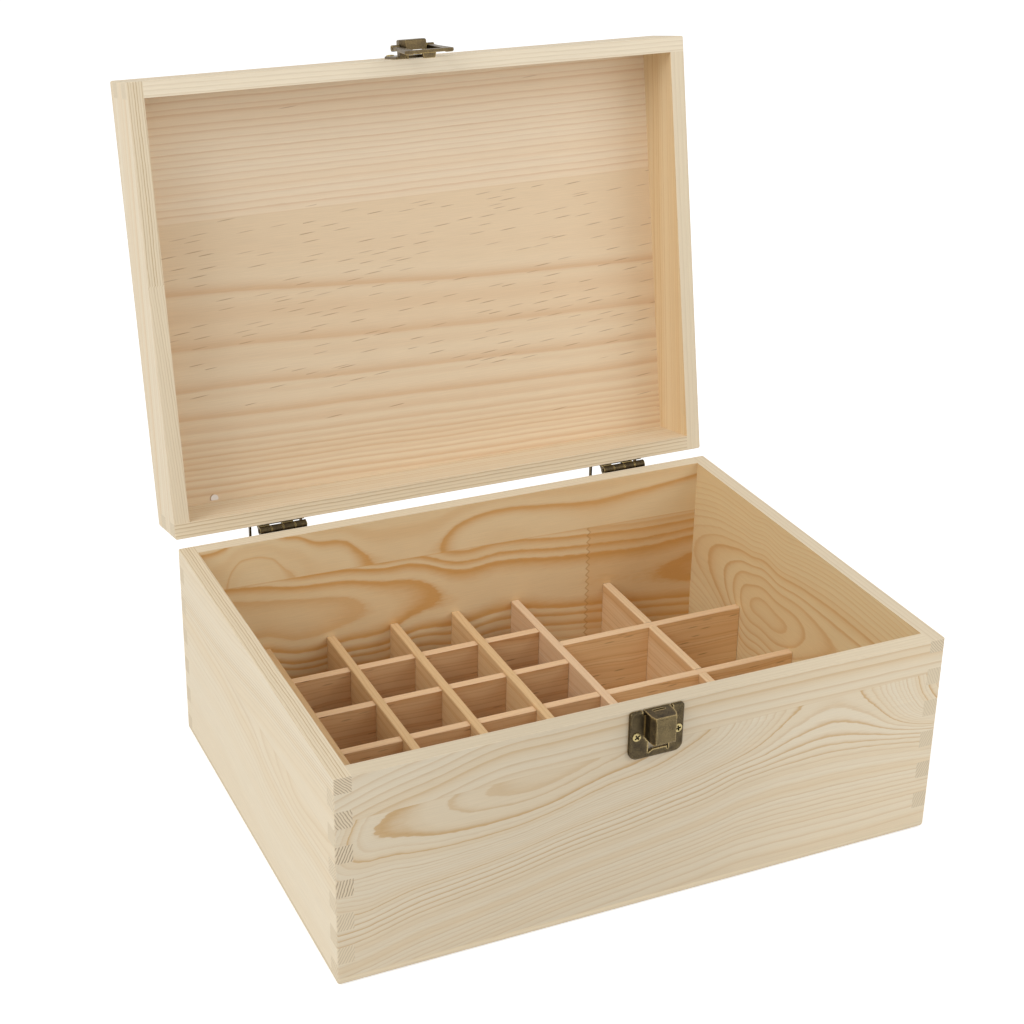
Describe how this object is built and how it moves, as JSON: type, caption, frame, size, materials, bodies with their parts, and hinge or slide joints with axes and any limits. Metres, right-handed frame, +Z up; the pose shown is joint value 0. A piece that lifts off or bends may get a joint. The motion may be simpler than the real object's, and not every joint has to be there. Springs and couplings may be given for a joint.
{
  "type": "essential oil storage box",
  "caption": "Hinged pine box, open on its stop hinges, with a front hasp latch and lap-jointed dividers that make small and large cells for upright bottles.",
  "frame": {"origin": "centre of the closed case's footprint, on the underside of the bottom panel", "axes": "+Z up, +X to the right along the front, +Y from the latch side towards the hinges"},
  "size_m": [0.3, 0.3146, 0.3369],
  "materials": {
    "pine": "sanded, unvarnished",
    "divider_wood": "sawn and lightly sanded",
    "antique_bronze": "antiqued, worn bright at the edges",
    "screw_brass": "plated"
  },
  "bodies": {
    "box": {"front_board": "pine", "back_board": "pine", "left_board": "pine", "right_board": "pine", "bottom_panel": "pine", "narrow_column_divider_1": "divider_wood", "narrow_column_divider_2": "divider_wood", "narrow_column_divider_3": "divider_wood", "narrow_column_divider_4": "divider_wood", "narrow_row_divider_1": "divider_wood", "narrow_row_divider_2": "divider_wood", "narrow_row_divider_3": "divider_wood", "narrow_row_divider_4": "divider_wood", "narrow_row_divider_5": "divider_wood", "centre_divider": "divider_wood", "wide_column_divider_1": "divider_wood", "wide_row_divider_1": "divider_wood", "wide_row_divider_2": "divider_wood", "wide_row_divider_3": "divider_wood", "left_hinge_body_leaf": "antique_bronze", "right_hinge_body_leaf": "antique_bronze", "left_hinge_pin": "antique_bronze", "right_hinge_pin": "antique_bronze", "hinge_body_screws": "screw_brass", "catch_plate": "antique_bronze", "catch_screws": "screw_brass"},
    "lid": {"lid_front_board": "pine", "lid_back_board": "pine", "lid_left_board": "pine", "lid_right_board": "pine", "lid_panel": "pine", "left_hinge_lid_leaf": "antique_bronze", "right_hinge_lid_leaf": "antique_bronze", "hinge_lid_screws": "screw_brass", "hasp_plate": "antique_bronze", "hasp_plate_screws": "screw_brass", "hasp_pin": "antique_bronze"},
    "hasp": {"hasp": "antique_bronze"}
  },
  "joints": [
    {"name": "lid_hinge", "type": "hinge", "parent": "box", "child": "lid", "pos_m": [0, 0.1155, 0.10415], "axis": [1, 0, 0], "range_deg": [0, 101]},
    {"name": "hasp_hinge", "type": "hinge", "parent": "lid", "child": "hasp", "pos_m": [-0.0018, 0.16548, 0.3322], "axis": [-1, 0, 0], "range_deg": [0, 170]}
  ]
}
